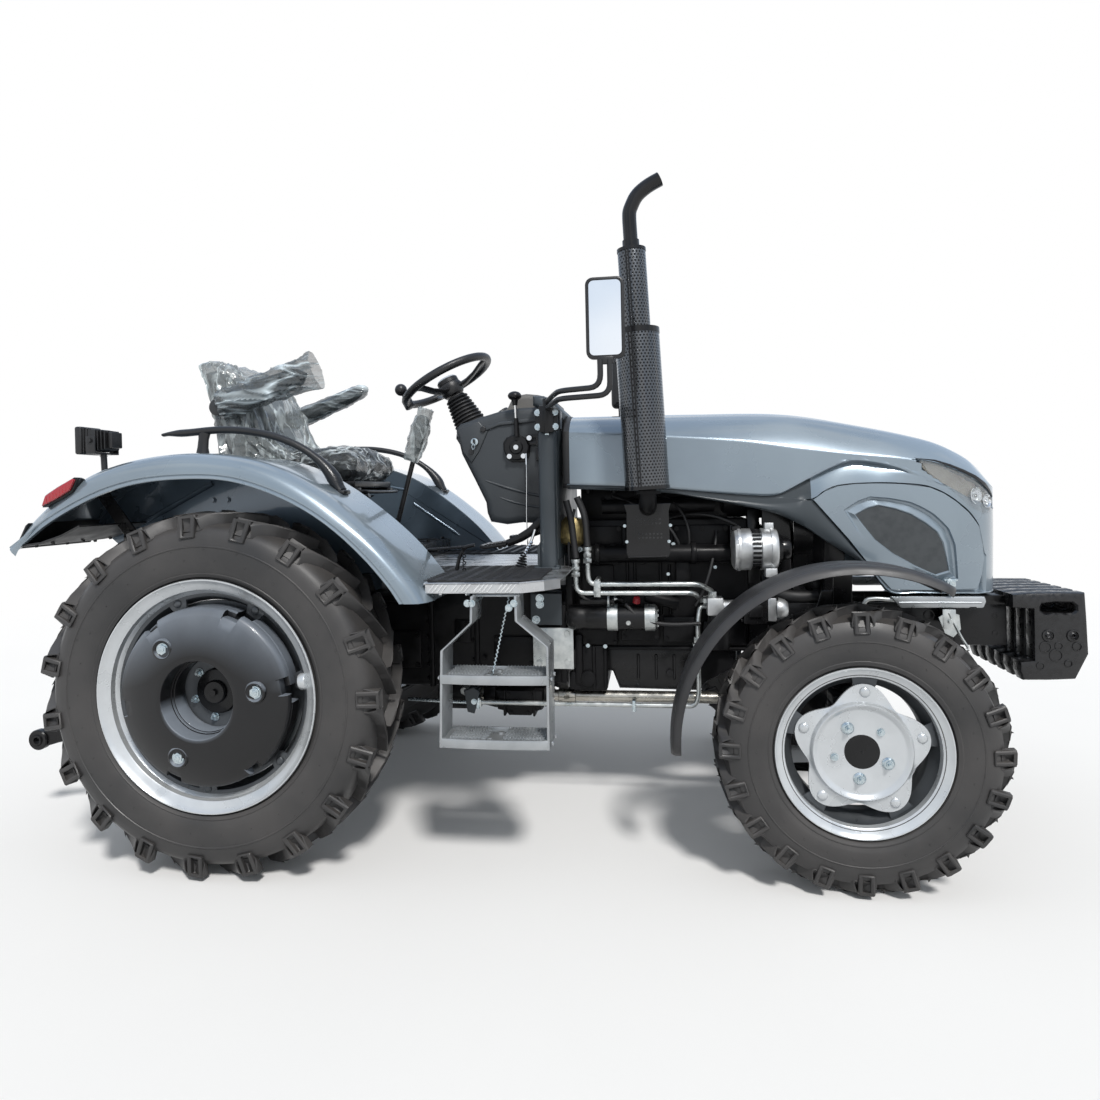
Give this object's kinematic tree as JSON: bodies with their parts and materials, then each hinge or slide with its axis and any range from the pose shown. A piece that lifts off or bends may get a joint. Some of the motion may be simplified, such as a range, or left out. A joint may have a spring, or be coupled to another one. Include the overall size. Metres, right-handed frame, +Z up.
{
  "type": "mini tractor",
  "caption": "Compact four-wheel-drive farm tractor with open driver's station, lifting hood, upright side exhaust, rear linkage and front ballast.",
  "frame": {"origin": "bottom centre of the whole machine, on the ground under the tyres", "axes": "+X forward along the machine, +Y to the tractor's left, +Z up"},
  "size_m": [3.435, 1.584, 2.0283],
  "materials": {
    "slate_paint": "glossy metallic",
    "black_metal": "satin",
    "black_iron": "painted black, slightly rough",
    "weight_black": "glossy black enamel",
    "rim_silver": "metallic silver enamel",
    "bare_steel": "turned",
    "galvanised": "zinc plated",
    "bare_aluminium": "cast, matt",
    "exhaust_black": "heat-proof satin black",
    "console_plastic": "fine grain",
    "rail_plastic": "satin",
    "grip_plastic": "soft satin",
    "fender_rubber": "satin",
    "boot_rubber": "ribbed, matt",
    "tyre": "matt",
    "seat_vinyl": "vinyl under clear wrapping film",
    "tread_plate": "chequered",
    "step_grey": "silver-grey powder coat",
    "red_lens": "clear red",
    "lamp_glass": "clear",
    "grille_mesh": "perforated",
    "mirror_face": "polished"
  },
  "bodies": {
    "chassis": {"alternator": "bare_aluminium", "armrests": "seat_vinyl", "cowl_frame": "slate_paint", "dashboard": "console_plastic", "drawbar": "black_metal", "drive_shaft": "bare_steel", "engine": "black_iron", "exhaust_manifold": "black_iron", "exhaust_shield": "exhaust_black", "floor_plates": "tread_plate", "front_axle": "black_iron", "front_frame": "black_metal", "front_weights": "black_iron", "gearbox_plates": "galvanised", "grab_rails": "rail_plastic", "hydraulic_pipes": "galvanised", "hydraulic_pump": "bare_aluminium", "levers": "black_metal", "mirror_glass": "mirror_face", "mirrors": "rail_plastic", "muffler": "exhaust_black", "oil_pan": "black_metal", "pedals": "black_metal", "radiator": "black_metal", "rear_axle_housings": "black_iron", "rear_fenders": "slate_paint", "seat_back": "seat_vinyl", "seat_base": "black_metal", "seat_cushion": "seat_vinyl", "seat_deck": "black_metal", "starter_motor": "black_metal", "steering_column": "boot_rubber", "steps": "step_grey", "tail_lamps": "red_lens", "transmission": "black_iron", "work_lamps": "rail_plastic"},
    "hood": {"hood_shell": "slate_paint", "hood_grille": "grille_mesh", "headlamps": "lamp_glass"},
    "steering_wheel": {"steering_wheel": "grip_plastic"},
    "tie_rod": {"tie_rod": "bare_steel"},
    "pto_shaft": {"pto_shaft": "bare_steel"},
    "lift_arms": {"lift_arms": "black_metal"},
    "lift_rods": {"lift_rods": "black_metal"},
    "lower_links": {"lower_links": "black_metal"},
    "knuckle_right": {"knuckle_right": "black_iron", "front_fender_right": "fender_rubber"},
    "front_wheel_right": {"front_rim_right": "rim_silver", "front_tyre_right": "tyre"},
    "rear_wheel_right": {"rear_rim_right": "rim_silver", "rear_tyre_right": "tyre", "rear_wheel_weight_right": "weight_black"},
    "knuckle_left": {"knuckle_left": "black_iron", "front_fender_left": "fender_rubber"},
    "front_wheel_left": {"front_rim_left": "rim_silver", "front_tyre_left": "tyre"},
    "rear_wheel_left": {"rear_rim_left": "rim_silver", "rear_tyre_left": "tyre", "rear_wheel_weight_left": "weight_black"}
  },
  "joints": [
    {"name": "rear_wheel_right_spin", "type": "hinge", "parent": "chassis", "child": "rear_wheel_right", "pos_m": [-0.8475, -0.644, 0.525], "axis": [0, 1, 0], "continuous": true},
    {"name": "steer_right", "type": "hinge", "parent": "chassis", "child": "knuckle_right", "pos_m": [0.9365, -0.47, 0.382], "axis": [0, 0, 1], "range_deg": [-35, 35]},
    {"name": "front_wheel_right_spin", "type": "hinge", "parent": "knuckle_right", "child": "front_wheel_right", "pos_m": [0.9365, -0.5825, 0.382], "axis": [0, 1, 0], "continuous": true},
    {"name": "rear_wheel_left_spin", "type": "hinge", "parent": "chassis", "child": "rear_wheel_left", "pos_m": [-0.8475, 0.644, 0.525], "axis": [0, 1, 0], "continuous": true},
    {"name": "steer_left", "type": "hinge", "parent": "chassis", "child": "knuckle_left", "pos_m": [0.9365, 0.47, 0.382], "axis": [0, 0, 1], "range_deg": [-35, 35]},
    {"name": "front_wheel_left_spin", "type": "hinge", "parent": "knuckle_left", "child": "front_wheel_left", "pos_m": [0.9365, 0.5825, 0.382], "axis": [0, 1, 0], "continuous": true},
    {"name": "tie_rod_turn", "type": "hinge", "parent": "knuckle_left", "child": "tie_rod", "pos_m": [0.7815, 0.47, 0.254], "axis": [0, 0, 1], "range_deg": [-36, 36]},
    {"name": "steering_wheel_turn", "type": "hinge", "parent": "chassis", "child": "steering_wheel", "pos_m": [-0.3335, 0, 1.494], "axis": [-0.4695, 0, 0.8829], "range_deg": [-425, 425]},
    {"name": "hood_hinge", "type": "hinge", "parent": "chassis", "child": "hood", "pos_m": [0.1385, 0, 1.33], "axis": [0, -1, 0], "range_deg": [0, 50]},
    {"name": "pto_spin", "type": "hinge", "parent": "chassis", "child": "pto_shaft", "pos_m": [-1.1475, 0, 0.6], "axis": [1, 0, 0], "continuous": true},
    {"name": "lift_arms_turn", "type": "hinge", "parent": "chassis", "child": "lift_arms", "pos_m": [-1.0375, 0, 0.78], "axis": [0, 1, 0], "range_deg": [-8, 30]},
    {"name": "lift_rods_turn", "type": "hinge", "parent": "lift_arms", "child": "lift_rods", "pos_m": [-1.36218, 0, 0.72097], "axis": [0, 1, 0], "range_deg": [-31, 9]},
    {"name": "lower_links_turn", "type": "hinge", "parent": "chassis", "child": "lower_links", "pos_m": [-0.9675, 0, 0.4], "axis": [0, 1, 0], "range_deg": [-9, 31]}
  ],
  "couplings": [
    {"joint": "steer_right", "follows": "steer_left", "ratio": 1},
    {"joint": "tie_rod_turn", "follows": "steer_left", "ratio": -1},
    {"joint": "steering_wheel_turn", "follows": "steer_left", "ratio": 12},
    {"joint": "lift_rods_turn", "follows": "lift_arms_turn", "ratio": -1},
    {"joint": "lower_links_turn", "follows": "lift_arms_turn", "ratio": 1}
  ]
}
